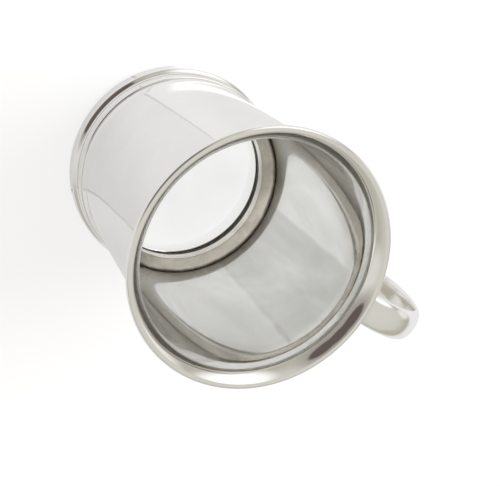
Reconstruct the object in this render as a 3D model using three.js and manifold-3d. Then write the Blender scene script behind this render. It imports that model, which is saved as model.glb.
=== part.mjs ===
// A lidless silver tankard with a glass bottom: a flared barrel with a beaded rim, a stepped foot,
// a strap handle, and a glass disc sealed into a seat ring. Millimetres, +Z up, standing on z = 0.
import * as THREE from "three";
import { mergeVertices } from "three/addons/utils/BufferGeometryUtils.js";
import Module from "manifold-3d";

// Overall sizes
const mouthDiameter = 100; // over the rim bead
const overallHeight = 115; // foot to the top of the rim bead
const beadRadius = 1.45; // half the thickness of the rim bead
const clearance = 0.3; // between pieces that touch

// Barrel
const wall = 1.4;
const lipSpread = 7; // from the bore, where the lip starts, out to the rim's edge
const barrelTaper = 1.6; // how much narrower the bore is at its foot
const lipFlat = 2.6; // straight part of the flared lip, up to where it meets the bead
const lipBend = THREE.MathUtils.degToRad(40); // how far the lip leans out

// Foot ring, with a ledge that carries the barrel and the seat
const footProjection = 3.55; // beyond the barrel
const footHeight = 8.2;
const footHeel = 0.9; // rounding of the lower edge
const footSide = 5.6; // height where the upright side ends and the shoulder starts
const footStep = 1.85; // how far the shoulder draws in
const ledgeThickness = 3;
const ledgeCover = 2; // how far the ledge reaches in under the glass

// Base collar above the foot ring: a band, a small step and a cove
const collarProjection = 1.6; // beyond the barrel
const collarBandHeight = 5.5;
const collarStep = 0.45; // how far the band draws in at its top
const collarStepHeight = 0.8;
const collarCoveHeight = 5.8;
const collarEdge = 0.3; // thickness left at the top of the cove

// Glass bottom: retaining ring, disc, seal and seat, from below
const retainerHeight = 6.4;
const retainerWidth = 2.5;
const glassThickness = 4;
const glassBevel = 0.5;
const sealThickness = 0.8;
const sealWidth = 3;
const seatWall = 2.3; // between the glass and the barrel
const seatCover = 2.6; // how far the seat reaches in over the glass
const seatFlare = 0.4; // how much wider the seat's opening is at its upper edge
const seatDepth = 4; // from the seat's upper edge down to the seal
const seatRise = 2.1; // from the seat's upper edge up to the barrel wall

// Strap handle: a D section, flat towards the barrel
const strapWidth = 13;
const strapThickness = 4.2;
const strapEdge = 0.8; // thickness of the strap at its two edges
const handleReach = 98.5; // barrel axis to the strap's flat side
const handleTopSeat = 99; // height where the strap leaves the barrel
const handleLowSeat = 25.5; // height where the strap comes back to it
const handleWaist = 53.5; // height of the furthest point
const handleRise = THREE.MathUtils.degToRad(54); // slope of the strap as it leaves the barrel
const handleLift = 43; // how strongly the strap follows that slope
const handleShoulder = 22.5; // straightness of the strap above its furthest point
const handleHeel = 22.5; // straightness of the strap below it
const handleReturn = 35; // straightness of the strap as it comes back
const handleRoot = 9; // length of strap that is cut away to fit the barrel

// Fineness of the solids
const turns = 64; // faces round the axis
const lipSteps = 5;
const beadSteps = 12;
const heelSteps = 3;
const shoulderSteps = 6;
const coveSteps = 5;
const strapSteps = 44;
const strapArcSteps = 8;
const weld = 1e-4; // points closer than this become one

// Heights and radii that follow from the sizes above
const mouthRadius = mouthDiameter / 2;
const boreRadiusHigh = mouthRadius - lipSpread;
const boreRadiusLow = boreRadiusHigh - barrelTaper;
const footRadius = boreRadiusLow + wall + footProjection;
const collarBandRadius = boreRadiusLow + wall + collarProjection;
const glassRadius = boreRadiusLow - clearance - seatWall - clearance;
const ledgeBore = glassRadius - ledgeCover;
const retainerBore = glassRadius - retainerWidth;
const sealBore = glassRadius - sealWidth;
const seatBore = glassRadius - seatCover;
const seatMouth = seatBore + seatFlare;
const beadCentreRadius = mouthRadius - beadRadius;
const beadCentreHeight = overallHeight - beadRadius;
const floorLevel = ledgeThickness + clearance;
const lipFlatRadius = beadCentreRadius - beadRadius * Math.cos(lipBend) - lipFlat * Math.sin(lipBend);
const lipFlatHeight = beadCentreHeight + beadRadius * Math.sin(lipBend) - lipFlat * Math.cos(lipBend);
const lipCurveRadius = (lipFlatRadius - boreRadiusHigh) / (1 - Math.cos(lipBend));
const lipStart = lipFlatHeight - lipCurveRadius * Math.sin(lipBend);
const retainerTop = floorLevel + retainerHeight;
const glassBottom = retainerTop + clearance;
const glassTop = glassBottom + glassThickness;
const sealBottom = glassTop + clearance;
const seatUnderside = sealBottom + sealThickness + clearance;
const seatEdge = seatUnderside + seatDepth;
const collarBottom = footHeight + clearance;
const collarTop = collarBottom + collarBandHeight + collarStepHeight + collarCoveHeight;

const wasm = await Module();
wasm.setup();

const silver = { color: 0xd9d8d4, roughness: 0.07, metalness: 1 };
const brightGlass = { color: 0xeef3f1, roughness: 0.03, metalness: 0 };
const darkRubber = { color: 0x2b2a29, roughness: 0.7, metalness: 0 };

const tankard = new THREE.Group();

function addPiece(name, geometry, look) {
  const mesh = new THREE.Mesh(geometry, new THREE.MeshStandardMaterial(look));
  mesh.name = name;
  tankard.add(mesh);
}

// Radius of the barrel's bore at a height below the lip
function boreRadiusAt(z) {
  const share = (z - floorLevel) / (lipStart - floorLevel);
  return THREE.MathUtils.lerp(boreRadiusLow, boreRadiusHigh, share);
}

// A solid turned about Z from an outline of [radius, height] pairs
function turned(outline) {
  const points = outline.map(([r, z]) => new THREE.Vector2(r, z));
  return new THREE.LatheGeometry(points, turns).rotateX(Math.PI / 2);
}

// A turned ring: the outline closes on itself
function turnedRing(outline) {
  return turned([...outline, outline[0]]);
}

// Points of an arc of an ellipse, from one angle to another
function arc(centre, radii, from, to, steps) {
  return Array.from({ length: steps + 1 }, (_, i) => {
    const angle = THREE.MathUtils.lerp(from, to, i / steps);
    return [centre[0] + radii[0] * Math.cos(angle), centre[1] + radii[1] * Math.sin(angle)];
  });
}

// A soft step from one point to a higher one: upright, leaning in, and upright again
function ogee(from, to, steps) {
  return Array.from({ length: steps + 1 }, (_, i) => {
    const share = (1 - Math.cos((Math.PI * i) / steps)) / 2;
    return [THREE.MathUtils.lerp(from[0], to[0], share), THREE.MathUtils.lerp(from[1], to[1], i / steps)];
  });
}

// The flared lip: its inner side starts upright, leans out and runs straight towards the top of the bead,
// and stops just clear of it. The offset moves it along its normal.
function lipCurve(offset) {
  const centre = boreRadiusHigh + lipCurveRadius;
  const radius = lipCurveRadius - offset;
  const curve = Array.from({ length: lipSteps + 1 }, (_, i) => {
    const angle = (lipBend * i) / lipSteps;
    return [centre - radius * Math.cos(angle), lipStart + radius * Math.sin(angle)];
  });
  const [endRadius, endHeight] = curve[lipSteps];
  const straight = lipFlat - beadRadius - clearance;
  curve.push([endRadius + straight * Math.sin(lipBend), endHeight + straight * Math.cos(lipBend)]);
  return curve;
}

function barrel() {
  const outside = [[boreRadiusLow + wall, floorLevel], ...lipCurve(wall)];
  const inside = [...lipCurve(0).reverse(), [boreRadiusLow, floorLevel]];
  return turnedRing([...outside, ...inside]);
}

function beadRing(radius) {
  const circle = arc([beadCentreRadius, beadCentreHeight], [radius, radius], 0, 2 * Math.PI, beadSteps);
  return turnedRing(circle.slice(0, -1));
}

function footRing() {
  const pocket = boreRadiusAt(footHeight) + wall + clearance;
  const heel = arc([footRadius - footHeel, footHeel], [footHeel, footHeel], -Math.PI / 2, 0, heelSteps);
  const shoulder = ogee([footRadius, footSide], [footRadius - footStep, footHeight], shoulderSteps);
  return turnedRing([
    [ledgeBore, 0],
    ...heel,
    ...shoulder,
    [pocket, footHeight],
    [pocket, ledgeThickness],
    [ledgeBore, ledgeThickness],
  ]);
}

function baseCollar() {
  const bore = boreRadiusAt(collarTop) + wall + clearance;
  const bandTop = collarBottom + collarBandHeight;
  const coveFoot = bandTop + collarStepHeight;
  const coveOut = collarBandRadius - collarStep;
  const coveIn = bore + collarEdge;
  const step = ogee([collarBandRadius, bandTop], [coveOut, coveFoot], shoulderSteps);
  const coveRadii = [coveOut - coveIn, collarCoveHeight];
  const cove = arc([coveOut, collarTop], coveRadii, -Math.PI / 2, -Math.PI, coveSteps).slice(1);
  const underside = [[bore, collarBottom], [collarBandRadius, collarBottom]];
  return turnedRing([...underside, ...step, ...cove, [bore, collarTop]]);
}

function glassSeat() {
  const pocket = glassRadius + clearance;
  const wallEdge = seatEdge + seatRise;
  return turnedRing([
    [pocket, floorLevel],
    [boreRadiusLow - clearance, floorLevel],
    [boreRadiusAt(wallEdge) - clearance, wallEdge],
    [seatMouth, seatEdge],
    [seatBore, seatUnderside],
    [pocket, seatUnderside],
  ]);
}

function glassSeal() {
  const sealTop = sealBottom + sealThickness;
  return turnedRing([
    [sealBore, sealBottom],
    [glassRadius, sealBottom],
    [glassRadius, sealTop],
    [sealBore, sealTop],
  ]);
}

function glassDisc() {
  return turned([
    [0, glassBottom],
    [glassRadius - glassBevel, glassBottom],
    [glassRadius, glassBottom + glassBevel],
    [glassRadius, glassTop - glassBevel],
    [glassRadius - glassBevel, glassTop],
    [0, glassTop],
  ]);
}

function retainingRing() {
  return turnedRing([
    [retainerBore, floorLevel],
    [glassRadius, floorLevel],
    [glassRadius, retainerTop],
    [retainerBore, retainerTop],
  ]);
}

// A closed geometry as a solid that can be cut
function solid(geometry) {
  const bare = geometry.clone().deleteAttribute("normal").deleteAttribute("uv");
  const merged = mergeVertices(bare, weld);
  const vertProperties = merged.attributes.position.array;
  const triVerts = new Uint32Array(merged.index.array);
  return new wasm.Manifold(new wasm.Mesh({ numProp: 3, vertProperties, triVerts }));
}

function geometryOf(cut) {
  const mesh = cut.getMesh();
  const geometry = new THREE.BufferGeometry();
  geometry.setAttribute("position", new THREE.BufferAttribute(mesh.vertProperties, 3));
  return geometry.setIndex(new THREE.BufferAttribute(mesh.triVerts, 1));
}

// The strap's flat side, from inside the barrel wall, out under the rim, down and back in
function handlePath() {
  const point = (x, z) => new THREE.Vector3(x, 0, z);
  const slope = point(Math.cos(handleRise), Math.sin(handleRise));
  const top = point(boreRadiusAt(handleTopSeat) + wall, handleTopSeat);
  const low = point(boreRadiusAt(handleLowSeat) + wall, handleLowSeat);
  const far = point(handleReach, handleWaist);
  const path = new THREE.CurvePath();
  path.add(new THREE.LineCurve3(top.clone().addScaledVector(slope, -handleRoot), top));
  path.add(
    new THREE.CubicBezierCurve3(
      top,
      top.clone().addScaledVector(slope, handleLift),
      point(handleReach, handleWaist + handleShoulder),
      far,
    ),
  );
  path.add(
    new THREE.CubicBezierCurve3(
      far,
      point(handleReach, handleWaist - handleHeel),
      point(low.x + handleReturn, handleLowSeat),
      low,
    ),
  );
  path.add(new THREE.LineCurve3(low, point(low.x - handleRoot, handleLowSeat)));
  return path;
}

// The D section: x across the strap, and -y away from the barrel
function strapSection() {
  const half = strapWidth / 2;
  const crown = arc([0, -strapEdge], [half, strapThickness - strapEdge], 0, -Math.PI, strapArcSteps);
  return new THREE.Shape([[half, 0], ...crown, [-half, 0]].map(([x, y]) => new THREE.Vector2(x, y)));
}

function handle() {
  const strap = new THREE.ExtrudeGeometry(strapSection(), { steps: strapSteps, extrudePath: handlePath() });
  const keepOut = turned([
    [0, 0],
    [boreRadiusLow + wall + clearance, 0],
    [boreRadiusLow + wall + clearance, floorLevel],
    ...lipCurve(wall + clearance),
    [0, overallHeight],
  ]);
  return geometryOf(solid(strap).subtract(solid(keepOut)).subtract(solid(beadRing(beadRadius + clearance))));
}

addPiece("barrel", barrel(), silver);
addPiece("rim_bead", beadRing(beadRadius), silver);
addPiece("foot_ring", footRing(), silver);
addPiece("base_collar", baseCollar(), silver);
addPiece("glass_seat", glassSeat(), silver);
addPiece("glass_seal", glassSeal(), darkRubber);
addPiece("glass_disc", glassDisc(), brightGlass);
addPiece("retaining_ring", retainingRing(), silver);
addPiece("handle", handle(), silver);

// The origin is under the middle of the whole tankard, handle included
const reach = new THREE.Box3().setFromObject(tankard);
tankard.position.x = -(reach.min.x + reach.max.x) / 2;

const part = new THREE.Group();
part.add(tankard);

export default part;
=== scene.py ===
# A polished silver tankard with a glass bottom, seen from above its mouth on a white table.
import math

import bpy
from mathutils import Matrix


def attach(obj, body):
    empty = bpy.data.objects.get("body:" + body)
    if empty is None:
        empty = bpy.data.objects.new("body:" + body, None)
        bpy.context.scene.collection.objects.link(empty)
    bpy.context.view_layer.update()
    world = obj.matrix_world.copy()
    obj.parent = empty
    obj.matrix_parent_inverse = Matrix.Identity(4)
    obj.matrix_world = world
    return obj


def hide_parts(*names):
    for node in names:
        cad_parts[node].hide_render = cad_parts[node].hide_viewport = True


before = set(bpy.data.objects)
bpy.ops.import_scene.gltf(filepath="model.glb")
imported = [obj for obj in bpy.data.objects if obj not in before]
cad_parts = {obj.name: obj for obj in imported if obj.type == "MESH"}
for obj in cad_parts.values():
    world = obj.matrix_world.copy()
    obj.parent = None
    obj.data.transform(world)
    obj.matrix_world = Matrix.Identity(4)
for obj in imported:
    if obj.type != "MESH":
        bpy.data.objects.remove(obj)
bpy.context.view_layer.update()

MM = 0.001

# Sizes in millimetres, as in the part's source
axis_x = -26.345  # the barrel's axis
clearance = 0.3
wall = 1.4
bore_low = 41.4
bore_high = 43.0
floor_level = 3.3
lip_start = 104.885  # height where the barrel starts to flare
bead_radius = 1.45
bead_centre = (48.55, 113.55)
foot_radius = 46.35
foot_height = 8.2
foot_heel = 0.9
foot_side = 5.6
foot_step = 1.85
ledge_bore = 36.5
ledge_thickness = 3.0
collar_bottom = foot_height + clearance
collar_band_radius = 44.4
collar_band_height = 5.5
collar_step = 0.45
collar_step_height = 0.8
collar_cove = 5.8
collar_top = collar_bottom + collar_band_height + collar_step_height + collar_cove
glass_radius = 38.5
glass_bottom = 10.0
glass_top = 14.0
glass_bevel = 0.5
retainer_bore = 36.0
retainer_top = 9.7
seal_bore = 35.6
seal_bottom = 14.3
seal_top = 15.1
seat_bore = 35.9
seat_mouth = 36.3
seat_underside = 15.4
seat_edge = 19.4
seat_wall_edge = 21.5
strap_width = 13.0
strap_crown = 3.39
strap_edge = 0.8
handle_top_seat = 99.0
handle_low_seat = 25.5
handle_reach = 98.5
handle_waist = 53.5
handle_rise = math.radians(54)
handle_lift = 43.0
handle_shoulder = 22.5
handle_heel = 22.5
handle_return = 35.0
handle_root = 9.0

# Finer forms that only the visible pieces have, in millimetres and degrees
# The lip from the bead down to the bore: length and lean at the end of each run, in degrees from upright
lip_meet = 47.2
lip_runs = ((2.1, 38.5), (2.95, 28.5), (0.6, 13.0), (4.0, 4.2), (5.0, 0.9))
foot_pocket_gap = 0.05
foot_underside_rim = 2.0
foot_side_low = 0.4
foot_side_high = 0.3
foot_top_ease = 0.15
ledge_ease = 0.3
band_ease = 0.15
band_low = 0.5
band_high = 0.3
step_pinch = 1.5  # the step on the collar is this much steeper than a plain wave
cove_start = 0.25
cove_drop = 0.5
cove_edge = 0.15
collar_sink = 0.1  # the collar is let into the barrel's wall
seat_gap = 0.05
seat_low_gap = 0.1
seat_rim = 0.5
seat_wall_ease = 0.45
seat_mouth_ease = 0.35
seat_under_ease = 0.2
seal_ease = 0.2
retainer_ease = 0.3
handle_sink = 0.6  # the handle's ends are let into the barrel's wall
painted_line_bearing = -36.6  # the painted reflection line up the inside wall, in degrees from the handle

# Fineness of the visible surfaces
turns = 256
lip_steps = 8
wall_rings = 24
wall_end = 0.99  # the wall's last ring lies just under the lip
bead_points = 36
heel_steps = 10
shoulder_steps = 24
step_steps = 20
cove_steps = 16
fine_ease_steps = 8
ease_steps = 6
small_ease_steps = 4
strap_rings = 132
strap_points = 48
curve_samples = 400
middle_band = 1e-4
weld = 0.002
ring_shade_angle = 32
strap_shade_angle = 40


def bore_at(z):
    """Radius of the barrel's bore at a height below the lip."""
    return bore_low + (bore_high - bore_low) * (z - floor_level) / (lip_start - floor_level)


def arc(centre, radii, start, end, steps):
    """Points of an arc of an ellipse, from one angle to another."""
    points = []
    for i in range(steps + 1):
        angle = start + (end - start) * i / steps
        points.append((centre[0] + radii[0] * math.cos(angle), centre[1] + radii[1] * math.sin(angle)))
    return points


def rounded(corner, before, after, radius, steps):
    """A corner of an outline, eased by a curve that starts and ends one radius away from it."""
    def towards(other):
        dx, dz = other[0] - corner[0], other[1] - corner[1]
        length = math.hypot(dx, dz)
        return (corner[0] + dx * radius / length, corner[1] + dz * radius / length)

    a, b = towards(before), towards(after)
    points = []
    for i in range(steps + 1):
        t = i / steps
        points.append(tuple(
            (1 - t) ** 2 * a[k] + 2 * t * (1 - t) * corner[k] + t * t * b[k] for k in (0, 1)
        ))
    return points


def ogee(start, end, steps, pinch=1.0):
    """A soft step from one point to a higher one: upright, leaning in, and upright again."""
    points = []
    for i in range(steps + 1):
        share = min(max((i / steps - 0.5) * pinch + 0.5, 0), 1)
        share = (1 - math.cos(math.pi * share)) / 2
        points.append((start[0] + (end[0] - start[0]) * share, start[1] + (end[1] - start[1]) * i / steps))
    return points


def new_circle(name, radius, x, z, points):
    """A bare level circle, the start of every piece."""
    bpy.ops.object.select_all(action="DESELECT")
    bpy.ops.mesh.primitive_circle_add(
        vertices=points, radius=radius * MM, fill_type="NOTHING", location=(x * MM, 0, z * MM)
    )
    piece = bpy.context.object
    piece.name = name
    piece.data.name = name
    bpy.ops.object.transform_apply(location=True, rotation=True, scale=True)
    return piece


def start_ring(name, radius, z):
    """A circle about the barrel's axis, selected and ready to be extruded."""
    piece = new_circle(name, radius, axis_x, z, turns)
    bpy.ops.object.mode_set(mode="EDIT")
    bpy.ops.mesh.select_all(action="SELECT")
    return piece


def next_ring(here, there):
    """Extrudes the selected ring to the next radius and height of its outline."""
    bpy.ops.mesh.extrude_edges_move(
        TRANSFORM_OT_translate={"value": (0, 0, (there[1] - here[1]) * MM)}
    )
    grow = there[0] / here[0]
    bpy.ops.transform.resize(value=(grow, grow, 1), center_override=(axis_x * MM, 0, there[1] * MM))


def close_shell():
    bpy.ops.mesh.select_all(action="SELECT")
    bpy.ops.mesh.remove_doubles(threshold=weld * MM)
    bpy.ops.mesh.normals_make_consistent(inside=False)
    bpy.ops.object.mode_set(mode="OBJECT")


def finish_piece(piece, material, node, angle):
    """Shades a finished piece, gives it its finish and puts it in the place of its solid."""
    bpy.ops.object.shade_smooth_by_angle(angle=math.radians(angle))
    piece.data.materials.clear()
    piece.data.materials.append(material)
    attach(piece, "root")
    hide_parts(node)


def turned_ring(name, outline, material, node):
    """A ring turned about the barrel's axis: a circle, extruded round its outline until it closes."""
    piece = start_ring(name, *outline[0])
    for here, there in zip(outline, outline[1:] + outline[:1]):
        next_ring(here, there)
    close_shell()
    finish_piece(piece, material, node, ring_shade_angle)


def turned_disc(name, outline, material, node):
    """A disc: a circle, extruded up its edge and filled at both ends."""
    piece = start_ring(name, *outline[0])
    bpy.ops.mesh.edge_face_add()
    bpy.ops.mesh.select_all(action="DESELECT")
    bpy.ops.mesh.select_non_manifold()
    for here, there in zip(outline, outline[1:]):
        next_ring(here, there)
    bpy.ops.mesh.edge_face_add()
    close_shell()
    finish_piece(piece, material, node, ring_shade_angle)


# Shader nodes
def new_material(name):
    material = bpy.data.materials.new(name)
    material.use_nodes = True
    tree = material.node_tree
    tree.nodes.clear()
    output = tree.nodes.new("ShaderNodeOutputMaterial")
    return material, tree, output


def math_node(tree, operation, *values):
    node = tree.nodes.new("ShaderNodeMath")
    node.operation = operation
    for socket, value in zip(node.inputs, values):
        if isinstance(value, (int, float)):
            socket.default_value = value
        else:
            tree.links.new(value, socket)
    return node.outputs[0]


def plus(tree, a, b):
    return math_node(tree, "ADD", a, b)


def minus(tree, a, b):
    return math_node(tree, "SUBTRACT", a, b)


def times(tree, a, b):
    return math_node(tree, "MULTIPLY", a, b)


def larger(tree, a, b):
    return math_node(tree, "MAXIMUM", a, b)


def size_of(tree, value):
    """A number without its sign."""
    return math_node(tree, "ABSOLUTE", value)


def length_of(tree, vector):
    node = tree.nodes.new("ShaderNodeVectorMath")
    node.operation = "LENGTH"
    tree.links.new(vector, node.inputs[0])
    return node.outputs["Value"]


def along(tree, vector, direction):
    """How far a vector reaches along a direction."""
    node = tree.nodes.new("ShaderNodeVectorMath")
    node.operation = "DOT_PRODUCT"
    tree.links.new(vector, node.inputs[0])
    node.inputs[1].default_value = direction
    return node.outputs["Value"]


def object_point(tree, scale=(1, 1, 1)):
    """Object coordinates, moved to the barrel's axis and stretched."""
    coordinates = tree.nodes.new("ShaderNodeTexCoord")
    mapping = tree.nodes.new("ShaderNodeMapping")
    mapping.inputs["Location"].default_value = (-axis_x * MM * scale[0], 0, 0)
    mapping.inputs["Scale"].default_value = scale
    tree.links.new(coordinates.outputs["Object"], mapping.inputs["Vector"])
    return mapping.outputs["Vector"]


def noise(tree, vector, scale, detail, roughness=0.5, distortion=0.0):
    node = tree.nodes.new("ShaderNodeTexNoise")
    node.inputs["Scale"].default_value = scale
    node.inputs["Detail"].default_value = detail
    node.inputs["Roughness"].default_value = roughness
    node.inputs["Distortion"].default_value = distortion
    tree.links.new(vector, node.inputs["Vector"])
    return node.outputs["Fac"]


def ramp(tree, value, *stops):
    """Colours along a value, each with its place."""
    node = tree.nodes.new("ShaderNodeValToRGB")
    elements = node.color_ramp.elements
    while len(elements) < len(stops):
        elements.new(0.5)
    for element, (position, colour) in zip(elements, stops):
        element.position = position
        element.color = (*colour, 1)
    tree.links.new(value, node.inputs["Fac"])
    return node.outputs["Color"]


def mixed(tree, share, a, b):
    """One colour fading into another."""
    mix = tree.nodes.new("ShaderNodeMix")
    mix.data_type = "RGBA"
    tree.links.new(share, mix.inputs["Factor"])
    for socket, value in (("A", a), ("B", b)):
        if isinstance(value, tuple):
            mix.inputs[socket].default_value = (*value, 1)
        else:
            tree.links.new(value, mix.inputs[socket])
    return mix.outputs["Result"]


def fade(tree, value, span, to_low, to_high):
    """A soft change from one number to another while the value crosses a span."""
    node = tree.nodes.new("ShaderNodeMapRange")
    node.interpolation_type = "SMOOTHSTEP"
    tree.links.new(value, node.inputs["Value"])
    for socket, number in zip(("From Min", "From Max", "To Min", "To Max"), (*span, to_low, to_high)):
        node.inputs[socket].default_value = number
    return node.outputs["Result"]


def fade_mm(tree, value, span, to_low, to_high):
    """The same for a length, with its span in millimetres."""
    return fade(tree, value, [s * MM for s in span], to_low, to_high)


def fade_degrees(tree, value, span, to_low, to_high):
    """The same for an angle, with its span in degrees."""
    return fade(tree, value, [math.radians(s) for s in span], to_low, to_high)


def bump(tree, height, strength, distance, below=None, sunk=False):
    """Relief of a depth in millimetres, on top of the relief below it."""
    node = tree.nodes.new("ShaderNodeBump")
    node.invert = sunk
    node.inputs["Strength"].default_value = strength
    node.inputs["Distance"].default_value = distance * MM
    tree.links.new(height, node.inputs["Height"])
    if below:
        tree.links.new(below, node.inputs["Normal"])
    return node.outputs["Normal"]


# Finishes. A pattern is a noise: its scale, detail, roughness and distortion
scratch_pattern = (1.0, 2.0, 0.6)
scratch_edge = 0.05


def hairlines(tree, turn, stretch, share):
    """Fine straight scratches of one direction, as a mask."""
    coordinates = tree.nodes.new("ShaderNodeTexCoord")
    mapping = tree.nodes.new("ShaderNodeMapping")
    mapping.inputs["Rotation"].default_value = turn
    mapping.inputs["Scale"].default_value = stretch
    tree.links.new(coordinates.outputs["Object"], mapping.inputs["Vector"])
    fine = noise(tree, mapping.outputs["Vector"], *scratch_pattern)
    return fade(tree, fine, (share, share + scratch_edge), 0.0, 1.0)


bright_silver = (0.955, 0.95, 0.935)
worn_silver = (0.925, 0.919, 0.90)
old_tarnish = (0.14, 0.12, 0.102)
bloom_pattern = (42.0, 5.0, 0.6, 0.4)
bloom_span = (0.36, 0.62)
smear_pattern = (70.0, 4.0, 0.55)
smear_span = (0.35, 0.7)
smear_low = 0.6
smear_high = 1.5
silver_scratches = (
    ((0.3, 0.5, 0.9), (2400, 90, 130), 0.68),
    ((1.1, -0.4, 0.2), (110, 2100, 80), 0.69),
)
scratch_roughness = 0.05
scratch_strength = 0.12
scratch_depth = 0.01
dent_pattern = (55.0, 1.0, 0.4)
tarnish_pattern = (160.0, 3.0, 0.6)
tarnish_core = 0.4
tarnish_uneven = 0.6

# Inside of the barrel: it ends a little past the bore and fades out below the lip
inside_bright = (0.88, 0.875, 0.855)
inside_dim = (0.71, 0.705, 0.68)
inside_depth = (0.5, 0.9)
inside_top = (98, 107)
smudge_stretch = (1, 1, 0.35)
smudge_pattern = (30.0, 5.0, 0.6, 1.2)
smudge_span = (0.30, 0.62)
rub_pattern = (24000.0, 1.0)
rub_span = (0.47, 0.57)
rub_roughness = 0.45
# Degrees past the painted reflection line: the line itself, the side painted darker after it and the side
# painted lighter after that
painted_line_pattern = (70.0, 2.0)
painted_line_waver = 3
painted_line_span = (0.2, 2.2)
painted_line_share = 0.17
painted_line_patch_span = (0.35, 0.65)
painted_line_patch_low = 0.35
painted_dark_span = (-2, 2)
painted_dark_share = 0.16
painted_light_span = (47, 50)
painted_light_share = 0.06
light_side_polish = 0.36


def silver_finish(name, bright, worn, roughness, dents, tarnish=(), inside=False):
    """Polished silver: a faint bloom, hairline scratches, soft dents, tarnished rings and a rougher, darker
    inside, with a painted reflection line up the inside wall, painted shade past it and a painted lighter
    band further round.
    """
    material, tree, output = new_material(name)
    shader = tree.nodes.new("ShaderNodeBsdfPrincipled")
    shader.inputs["Metallic"].default_value = 1.0
    point = object_point(tree)
    split = tree.nodes.new("ShaderNodeSeparateXYZ")
    tree.links.new(point, split.inputs["Vector"])
    height = split.outputs["Z"]
    level = tree.nodes.new("ShaderNodeCombineXYZ")
    tree.links.new(split.outputs["X"], level.inputs["X"])
    tree.links.new(split.outputs["Y"], level.inputs["Y"])
    radius = length_of(tree, level.outputs["Vector"])

    bloom = noise(tree, point, *bloom_pattern)
    colour = ramp(tree, bloom, (bloom_span[0], worn), (bloom_span[1], bright))
    scratches = larger(tree, *(hairlines(tree, *lines) for lines in silver_scratches))
    smear = noise(tree, point, *smear_pattern)
    rough = fade(tree, smear, smear_span, roughness * smear_low, roughness * smear_high)
    rough = plus(tree, rough, times(tree, scratches, scratch_roughness))

    if inside:
        lean = (bore_high - bore_low) / (lip_start - floor_level)
        bore = plus(tree, times(tree, height, lean), bore_at(0) * MM)
        within = times(
            tree,
            fade_mm(tree, minus(tree, radius, bore), inside_depth, 1.0, 0.0),
            fade_mm(tree, height, inside_top, 1.0, 0.0),
        )
        smudge = noise(tree, object_point(tree, smudge_stretch), *smudge_pattern)
        # A painted reflection runs up the wall as a faint dark line, with painted shade on the side just past
        # it and a painted lighter band further round, where the silver is also smoother
        turn = math_node(tree, "ARCTAN2", split.outputs["Y"], split.outputs["X"])
        waver = times(tree, noise(tree, point, *painted_line_pattern), math.radians(painted_line_waver))
        past = minus(tree, plus(tree, turn, waver), math.radians(painted_line_bearing + painted_line_waver / 2))
        painted_light_side = fade_degrees(tree, past, painted_light_span, 0.0, 1.0)
        painted_dark_side = times(
            tree,
            fade_degrees(tree, past, painted_dark_span, 0.0, painted_dark_share),
            fade_degrees(tree, past, painted_light_span, 1.0, 0.0),
        )
        painted_line = times(
            tree,
            fade_degrees(tree, size_of(tree, past), painted_line_span, painted_line_share, 0.0),
            fade(tree, smudge, painted_line_patch_span, 1.0, painted_line_patch_low),
        )
        # The smudges, with the painted shade and the painted lighter band added
        smudge_and_painted_sides = plus(tree, minus(tree, smudge, painted_dark_side), times(tree, painted_light_side, painted_light_share))
        stain_and_painted_reflection = ramp(tree, smudge_and_painted_sides, (smudge_span[0], inside_dim), (smudge_span[1], inside_bright))
        colour = mixed(tree, within, colour, mixed(tree, painted_line, stain_and_painted_reflection, old_tarnish))
        rubs = fade(tree, noise(tree, point, *rub_pattern), rub_span, 0.0, rub_roughness)
        rubs = times(tree, rubs, minus(tree, 1.0, times(tree, painted_light_side, light_side_polish)))
        rough = plus(tree, rough, times(tree, within, rubs))

    patch = noise(tree, point, *tarnish_pattern)
    for ring_radius, ring_height, reach in tarnish:
        out = minus(tree, radius, ring_radius * MM)
        up = minus(tree, height, ring_height * MM)
        away = math_node(tree, "SQRT", plus(tree, times(tree, out, out), times(tree, up, up)))
        away = plus(tree, away, times(tree, patch, reach * tarnish_uneven * MM))
        near = fade_mm(tree, away, (reach * tarnish_core, reach), 1.0, 0.0)
        colour = mixed(tree, near, colour, old_tarnish)

    soft = bump(tree, noise(tree, point, *dent_pattern), 1.0, dents)
    fine = bump(tree, scratches, scratch_strength, scratch_depth, soft, sunk=True)
    tree.links.new(colour, shader.inputs["Base Color"])
    tree.links.new(rough, shader.inputs["Roughness"])
    tree.links.new(fine, shader.inputs["Normal"])
    tree.links.new(shader.outputs["BSDF"], output.inputs["Surface"])
    return material


glass_index = 1.5
clear_glass = (0.985, 0.99, 0.985)
clouded_glass = (0.93, 0.945, 0.94)
cloud_pattern = (38.0, 5.0, 0.62, 0.6)
cloud_span = (0.35, 0.6)
haze_span = (0.4, 0.75)
haze_roughness = 0.05
glass_scuffs = ((0.0, 0.0, 0.7), (60, 1500, 1), 0.66)
scuff_roughness = 0.12


def glass_finish():
    """Clear glass, slightly clouded and scuffed."""
    material, tree, output = new_material("bottom_glass")
    shader = tree.nodes.new("ShaderNodeBsdfPrincipled")
    shader.inputs["Transmission Weight"].default_value = 1.0
    shader.inputs["IOR"].default_value = glass_index
    cloud = noise(tree, object_point(tree), *cloud_pattern)
    colour = ramp(tree, cloud, (cloud_span[0], clouded_glass), (cloud_span[1], clear_glass))
    haze = fade(tree, cloud, haze_span, 0.0, haze_roughness)
    scuffs = times(tree, hairlines(tree, *glass_scuffs), scuff_roughness)
    tree.links.new(colour, shader.inputs["Base Color"])
    tree.links.new(plus(tree, haze, scuffs), shader.inputs["Roughness"])
    tree.links.new(shader.outputs["BSDF"], output.inputs["Surface"])
    return material


seal_dark = (0.15, 0.143, 0.132)
seal_pale = (0.27, 0.26, 0.245)
seal_pattern = (420.0, 4.0, 0.6)
seal_span = (0.3, 0.7)
seal_smooth = 0.5
seal_rough = 0.8
seal_strength = 0.3
seal_depth = 0.1


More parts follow.
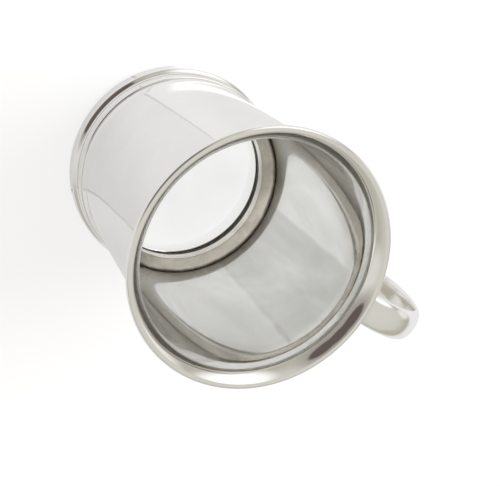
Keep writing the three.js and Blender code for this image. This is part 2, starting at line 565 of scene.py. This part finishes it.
def seal_finish():
    """A dark grainy seal."""
    material, tree, output = new_material("dark_seal")
    shader = tree.nodes.new("ShaderNodeBsdfPrincipled")
    grain = noise(tree, object_point(tree), *seal_pattern)
    colour = ramp(tree, grain, (seal_span[0], seal_dark), (seal_span[1], seal_pale))
    tree.links.new(colour, shader.inputs["Base Color"])
    tree.links.new(fade(tree, grain, seal_span, seal_smooth, seal_rough), shader.inputs["Roughness"])
    tree.links.new(bump(tree, grain, seal_strength, seal_depth), shader.inputs["Normal"])
    tree.links.new(shader.outputs["BSDF"], output.inputs["Surface"])
    return material


# Heights and radii of the collar, also used for its tarnish
band_top = collar_bottom + collar_band_height
cove_foot = band_top + collar_step_height
cove_out = collar_band_radius - collar_step

# Tarnished rings: radius, height and reach
seat_corner = (bore_at(seat_wall_edge), seat_wall_edge)
barrel_tarnish = ((*seat_corner, 1.2),)
seat_tarnish = ((*seat_corner, 2.2),)
base_tarnish = ((cove_out, cove_foot + 0.2, 0.5), (collar_band_radius, collar_bottom, 0.4))

seat_bright = (0.80, 0.77, 0.715)
seat_worn = (0.50, 0.475, 0.43)

barrel_silver = silver_finish(
    "barrel_silver", bright_silver, worn_silver, roughness=0.05, dents=0.03,
    tarnish=barrel_tarnish, inside=True,
)
bead_silver = silver_finish("bead_silver", bright_silver, worn_silver, roughness=0.06, dents=0.02)
base_silver = silver_finish(
    "base_silver", bright_silver, worn_silver, roughness=0.035, dents=0.02, tarnish=base_tarnish
)
seat_silver = silver_finish(
    "seat_silver", seat_bright, seat_worn, roughness=0.24, dents=0.02, tarnish=seat_tarnish
)
handle_silver = silver_finish("handle_silver", bright_silver, worn_silver, roughness=0.12, dents=0.04)
bottom_glass = glass_finish()
dark_seal = seal_finish()


# Barrel: the lip leans out and runs on over the bead
def lip_side():
    """Points of the lip's inner side, from the bead down to the bore, and the outer side behind it."""
    lean = math.radians(lip_meet)
    r = bead_centre[0] - bead_radius * math.cos(lean)
    z = bead_centre[1] + bead_radius * math.sin(lean)
    inner, outer = [(r, z)], []
    for length, end in lip_runs:
        start, end = lean, math.radians(end)
        for i in range(1, lip_steps + 1):
            middle = start + (end - start) * (i - 0.5) / lip_steps
            r -= length / lip_steps * math.sin(middle)
            z -= length / lip_steps * math.cos(middle)
            inner.append((r, z))
            lean = start + (end - start) * i / lip_steps
            outer.append((r + wall * math.cos(lean), z - wall * math.sin(lean)))
    # The first run has the bead behind it
    return inner, outer[lip_steps:]


lip_inner, lip_outer = lip_side()
lip_foot = lip_inner[-1]
inner_wall = []
for share in [i / wall_rings for i in range(wall_rings)] + [wall_end]:
    inner_wall.append((
        bore_low + (lip_foot[0] - bore_low) * share, floor_level + (lip_foot[1] - floor_level) * share
    ))
outer_wall = [(r + wall, z) for r, z in inner_wall]
turned_ring(
    "barrel_shell", outer_wall + lip_outer[::-1] + lip_inner + inner_wall[::-1],
    barrel_silver, "barrel",
)
turned_ring(
    "rim_roll", arc(bead_centre, (bead_radius, bead_radius), 0, 2 * math.pi, bead_points)[:-1],
    bead_silver, "rim_bead",
)

# Foot ring: an upright side and a soft shoulder up to the collar
foot_pocket = bore_at(foot_height) + wall + foot_pocket_gap
foot_inner_edge = ledge_bore + ledge_ease
shoulder = foot_radius - foot_step
heel_centre = (foot_radius - foot_heel, foot_heel)
turned_ring(
    "foot_band",
    [(foot_inner_edge, 0), (heel_centre[0] - foot_underside_rim, 0)]
    + arc(heel_centre, (foot_heel, foot_heel), -math.pi / 2, 0, heel_steps)
    + [(foot_radius, foot_heel + foot_side_low), (foot_radius, foot_side - foot_side_high)]
    + ogee((foot_radius, foot_side), (shoulder, foot_height), shoulder_steps)
    + [(shoulder - foot_top_ease, collar_bottom), (foot_pocket, collar_bottom)]
    + [(foot_pocket, ledge_thickness), (foot_inner_edge, ledge_thickness)]
    + [(ledge_bore, ledge_thickness - ledge_ease), (ledge_bore, ledge_ease)],
    base_silver, "foot_ring",
)

# Base collar: a band, a small soft step and a cove that dies into the barrel
collar_bore = bore_at(collar_top) + wall - collar_sink
cove_size = (cove_out - collar_bore - cove_edge, collar_cove - cove_drop)
turned_ring(
    "base_band",
    [(collar_bore, collar_bottom), (collar_band_radius - band_ease, collar_bottom)]
    + [(collar_band_radius, collar_bottom + band_ease), (collar_band_radius, collar_bottom + band_low)]
    + [(collar_band_radius, band_top - band_high)]
    + ogee((collar_band_radius, band_top), (cove_out, cove_foot), step_steps, step_pinch)
    + [(cove_out, cove_foot + cove_start)]
    + arc((cove_out, collar_top), cove_size, -math.pi / 2, -math.pi, cove_steps)[1:]
    + [(collar_bore, collar_top)],
    base_silver, "base_collar",
)

# Glass bottom: seat, seal, disc and the ring under it
seat_pocket = glass_radius + clearance
wall_corner = (bore_at(seat_wall_edge) - seat_gap, seat_wall_edge)
wall_top = (bore_at(seat_wall_edge + seat_rim) - seat_gap, seat_wall_edge + seat_rim)
mouth_corner = (seat_mouth, seat_edge)
bore_end = (seat_bore, seat_underside)
turned_ring(
    "seat_ring",
    [(seat_pocket, floor_level), (bore_low - seat_low_gap, floor_level), wall_top]
    + rounded(wall_corner, wall_top, mouth_corner, seat_wall_ease, fine_ease_steps)
    + rounded(mouth_corner, wall_corner, bore_end, seat_mouth_ease, ease_steps)
    + [(seat_bore, seat_underside + seat_under_ease), (seat_bore + seat_under_ease, seat_underside)]
    + [(seat_pocket, seat_underside)],
    seat_silver, "glass_seat",
)


def flat_ring(bore, outside, bottom, top, ease):
    """Outline of a flat ring with eased inner edges."""
    low, high = (bore, bottom), (bore, top)
    low_out, high_out = (outside, bottom), (outside, top)
    return (
        rounded(low, high, low_out, ease, small_ease_steps) + [low_out, high_out]
        + rounded(high, high_out, low, ease, small_ease_steps)
    )


turned_ring(
    "glass_gasket", flat_ring(seal_bore, glass_radius, seal_bottom, seal_top, seal_ease),
    dark_seal, "glass_seal",
)
turned_disc(
    "bottom_pane",
    [
        (glass_radius - glass_bevel, glass_bottom),
        (glass_radius, glass_bottom + glass_bevel),
        (glass_radius, glass_top - glass_bevel),
        (glass_radius - glass_bevel, glass_top),
    ],
    bottom_glass, "glass_disc",
)
turned_ring(
    "under_ring", flat_ring(retainer_bore, glass_radius, floor_level, retainer_top, retainer_ease),
    base_silver, "retaining_ring",
)


# Strap handle
def bezier(points, t):
    weights = ((1 - t) ** 3, 3 * t * (1 - t) ** 2, 3 * t * t * (1 - t), t ** 3)
    return tuple(sum(w * p[k] for w, p in zip(weights, points)) for k in (0, 1))


def handle_path():
    """Evenly spaced points of the strap's flat side, from the upper seat round to the lower one."""
    top = (bore_at(handle_top_seat) + wall, handle_top_seat)
    low = (bore_at(handle_low_seat) + wall, handle_low_seat)
    slope = (math.cos(handle_rise), math.sin(handle_rise))
    upper = [
        top,
        (top[0] + handle_lift * slope[0], top[1] + handle_lift * slope[1]),
        (handle_reach, handle_waist + handle_shoulder),
        (handle_reach, handle_waist),
    ]
    lower = [
        (handle_reach, handle_waist),
        (handle_reach, handle_waist - handle_heel),
        (low[0] + handle_return, handle_low_seat),
        low,
    ]
    dense = [(top[0] - handle_root * slope[0], top[1] - handle_root * slope[1])]
    dense += [bezier(upper, i / curve_samples) for i in range(curve_samples)]
    dense += [bezier(lower, i / curve_samples) for i in range(curve_samples + 1)]
    dense.append((low[0] - handle_root, low[1]))
    lengths = [0.0]
    for a, b in zip(dense, dense[1:]):
        lengths.append(lengths[-1] + math.dist(a, b))
    path, k = [], 0
    for i in range(strap_rings + 1):
        goal = lengths[-1] * i / strap_rings
        while k < len(lengths) - 2 and lengths[k + 1] < goal:
            k += 1
        share = (goal - lengths[k]) / (lengths[k + 1] - lengths[k])
        path.append(tuple(dense[k][j] + (dense[k + 1][j] - dense[k][j]) * share for j in (0, 1)))
    return path


def turn_ring(angle, centre):
    """Turns the selected ring about the Y axis, from X towards Z."""
    bpy.ops.transform.rotate(
        value=angle, orient_axis="Y", center_override=(centre[0] * MM, 0, centre[1] * MM)
    )


def handle_strap():
    path = [(x + axis_x, z) for x, z in handle_path()]
    headings = []
    for i in range(len(path)):
        a, b = path[max(i - 1, 0)], path[min(i + 1, len(path) - 1)]
        headings.append(math.atan2(b[1] - a[1], b[0] - a[0]))
    here = path[0]
    half = strap_width / 2
    piece = new_circle("handle_loop", half, *here, strap_points)
    # A circle becomes a D: the half away from the barrel stays high, the other half is pressed flat
    for outward, depth in ((True, strap_crown), (False, strap_edge)):
        bpy.ops.object.mode_set(mode="EDIT")
        bpy.ops.mesh.select_all(action="DESELECT")
        bpy.ops.object.mode_set(mode="OBJECT")
        for v in piece.data.vertices:
            off = v.co.x / MM - here[0]
            v.select = off < -middle_band if outward else off > middle_band
        bpy.ops.object.mode_set(mode="EDIT")
        bpy.ops.transform.resize(value=(depth / half, 1, 1), center_override=(here[0] * MM, 0, here[1] * MM))
    bpy.ops.mesh.select_all(action="SELECT")
    bpy.ops.transform.translate(value=(-strap_edge * MM, 0, 0))
    turn_ring(headings[0] - math.pi / 2, here)
    bpy.ops.mesh.edge_face_add()
    for i in range(1, len(path)):
        there = path[i]
        bpy.ops.mesh.extrude_region_move(
            TRANSFORM_OT_translate={"value": ((there[0] - here[0]) * MM, 0, (there[1] - here[1]) * MM)}
        )
        turn_ring(headings[i] - headings[i - 1], there)
        here = there
    # The ends are cut along the barrel wall, a little inside it
    top_cut = bore_at(handle_top_seat) + wall - handle_sink
    low_cut = bore_at(handle_low_seat) + wall - handle_sink
    lean = (top_cut - low_cut) / (handle_top_seat - handle_low_seat)
    bpy.ops.mesh.select_all(action="SELECT")
    bpy.ops.mesh.bisect(
        plane_co=((axis_x + low_cut) * MM, 0, handle_low_seat * MM), plane_no=(1, 0, -lean),
        use_fill=True, clear_inner=True,
    )
    close_shell()
    finish_piece(piece, handle_silver, "handle", strap_shade_angle)


handle_strap()


def compass(bearing, height):
    """A direction from a bearing about Z, from X towards Y, and a height above the horizon, in degrees."""
    bearing, height = math.radians(bearing), math.radians(height)
    return (math.cos(bearing) * math.cos(height), math.sin(bearing) * math.cos(height), math.sin(height))


# Table: white, and it keeps the tankard's soft shadow
# In the silver it shows painted light, paler under the glass and by the foot on the window side, and two soft
# folds painted as a line of shade with a painted sheen on one side
table_width = 12  # metres
cloth_grey = (0.34, 0.34, 0.35)
glow_seen = 0.72
glow_through_glass = 0.85
# Painted light: the table glows brighter in the silver under the glass and by the foot
painted_light_under_glass = 0.87
glow_around = 0.49
painted_light_by_foot = 0.5
under_glass = (39, 43)
by_foot = (49, 53)
window_bearing = 88
window_side = (38, 45)
# Folds: the bearing along each, the bearing across it and its place on that
folds = ((102.2, 12.2, -33.4), (-141.5, -51.5, -2.0))
fold_pattern = (60.0, 2.0)
fold_waver = 4
fold_start = (15, 30)
# Painted shade along each fold and a painted sheen on one side of it
crease_width = (0.25, 0.9)
crease_glow = -0.16
sheen_start = (0, 2)
sheen_end = (8, 40)
sheen_glow = 0.05


def table():
    bpy.ops.object.select_all(action="DESELECT")
    bpy.ops.mesh.primitive_plane_add(size=table_width, location=(0, 0, 0))
    floor = bpy.context.object
    floor.name = "white_table"
    material, tree, output = new_material("white_table")
    point = object_point(tree)
    away = length_of(tree, point)
    # Painted light seen only in the silver: a pool of light under the glass and another by the foot on the
    # window side
    windowed = fade_mm(tree, along(tree, point, compass(window_bearing, 0)), window_side, 0.0, 1.0)
    mirrored = plus(
        tree,
        fade_mm(tree, away, under_glass, painted_light_under_glass, glow_around),
        times(tree, fade_mm(tree, away, by_foot, painted_light_by_foot, 0.0), windowed),
    )
    waver = times(tree, noise(tree, point, *fold_pattern), fold_waver * MM)
    # Each fold, seen only in the silver: a line of painted shade along it and a painted sheen on one side
    for bearing, across, place in folds:
        side = minus(tree, minus(tree, along(tree, point, compass(across, 0)), place * MM), waver)
        outward = fade_mm(tree, along(tree, point, compass(bearing, 0)), fold_start, 0.0, 1.0)
        painted_fold_shade = fade_mm(tree, size_of(tree, side), crease_width, crease_glow, 0.0)
        sheen = fade_mm(tree, side, sheen_start, 0.0, sheen_glow)
        sheen = times(tree, sheen, fade_mm(tree, side, sheen_end, 1.0, 0.0))
        mirrored = plus(tree, mirrored, times(tree, outward, plus(tree, painted_fold_shade, sheen)))
    rays = tree.nodes.new("ShaderNodeLightPath")
    shown = times(tree, rays.outputs["Is Camera Ray"], glow_seen)
    shown = larger(tree, shown, times(tree, rays.outputs["Is Glossy Ray"], mirrored))
    shown = larger(tree, shown, times(tree, rays.outputs["Is Transmission Ray"], glow_through_glass))
    glow = tree.nodes.new("ShaderNodeEmission")
    tree.links.new(shown, glow.inputs["Strength"])
    cloth = tree.nodes.new("ShaderNodeBsdfDiffuse")
    cloth.inputs["Color"].default_value = (*cloth_grey, 1)
    both = tree.nodes.new("ShaderNodeAddShader")
    tree.links.new(glow.outputs["Emission"], both.inputs[0])
    tree.links.new(cloth.outputs["BSDF"], both.inputs[1])
    tree.links.new(both.outputs["Shader"], output.inputs["Surface"])
    floor.data.materials.append(material)


table()

# Studio: a pale warm room with a bright window side, and a dark side behind the viewer
# Colours of the room, from the horizon at 0 to straight up at 1
room_colours = (
    (0.0, (0.46, 0.445, 0.385)),
    (0.17, (0.48, 0.46, 0.40)),
    (0.34, (0.55, 0.53, 0.475)),
    (0.50, (0.62, 0.60, 0.55)),
    (1.0, (0.67, 0.65, 0.605)),
)
dark_corner = (0.125, 0.099, 0.091)
# Areas of it: bearing and height of the middle, degrees from there to where the colour starts and to where
# it is full, and the colour
room_areas = (
    ((-42, 12), (24, 8), (0.50, 0.465, 0.385)),
    ((30, 11), (22, 6), (0.84, 0.83, 0.79)),
    ((84, 20), (30, 11), (1.15, 1.14, 1.12)),
    ((-147, 10), (26, 6), (0.72, 0.70, 0.66)),
    ((166, 24), (42, 20), (0.36, 0.34, 0.31)),
    ((150, 25), (14, 10), dark_corner),
    ((165, 26), (14, 10), dark_corner),
    ((180, 25), (14, 10), dark_corner),
)


def studio():
    world = bpy.data.worlds.new("studio")
    bpy.context.scene.world = world
    world.use_nodes = True
    tree = world.node_tree
    tree.nodes.clear()
    coordinates = tree.nodes.new("ShaderNodeTexCoord")
    direction = coordinates.outputs["Generated"]
    split = tree.nodes.new("ShaderNodeSeparateXYZ")
    tree.links.new(direction, split.inputs["Vector"])
    colour = ramp(tree, split.outputs["Z"], *room_colours)
    for middle, reach, tint in room_areas:
        span = [math.cos(math.radians(r)) for r in reach]
        near = fade(tree, along(tree, direction, compass(*middle)), span, 0.0, 1.0)
        colour = mixed(tree, near, colour, tint)
    background = tree.nodes.new("ShaderNodeBackground")
    output = tree.nodes.new("ShaderNodeOutputWorld")
    tree.links.new(colour, background.inputs["Color"])
    tree.links.new(background.outputs["Background"], output.inputs["Surface"])


studio()


def soft_lamp(name, place, aim, size, watts):
    """A round lamp that points at a place and isn't mirrored in the silver."""
    bpy.ops.object.light_add(type="AREA", location=place)
    lamp = bpy.context.object
    lamp.name = name
    lamp.data.shape = "DISK"
    lamp.data.size = size
    lamp.data.energy = watts
    lamp.visible_glossy = False
    away = [p - a for p, a in zip(place, aim)]
    flat = math.hypot(away[0], away[1])
    lamp.rotation_euler = (math.atan2(flat, away[2]), 0, math.atan2(away[1], away[0]) + math.pi / 2)


soft_lamp("key_light", place=(0.5, 0.55, 1.0), aim=(0, 0, 0.05), size=0.7, watts=8)

# Camera, from above the mouth and rolled as in the photograph; millimetres and degrees
camera_place = (-202.956, 56.042, 413.239)
camera_turn = (-22.654, -20.751, 32.482)
bpy.ops.object.camera_add(
    location=[p * MM for p in camera_place], rotation=[math.radians(t) for t in camera_turn]
)
camera = bpy.context.object
camera.name = "camera"
camera.data.lens = 72
camera.data.sensor_width = 36
camera.data.sensor_fit = "HORIZONTAL"
camera.data.clip_start = 0.01
camera.data.clip_end = 50
scene = bpy.context.scene
scene.camera = camera
scene.view_settings.view_transform = "Standard"
# Light goes back and forth many times inside the polished barrel
scene.cycles.max_bounces = 32
scene.cycles.glossy_bounces = 32
scene.cycles.transmission_bounces = 16
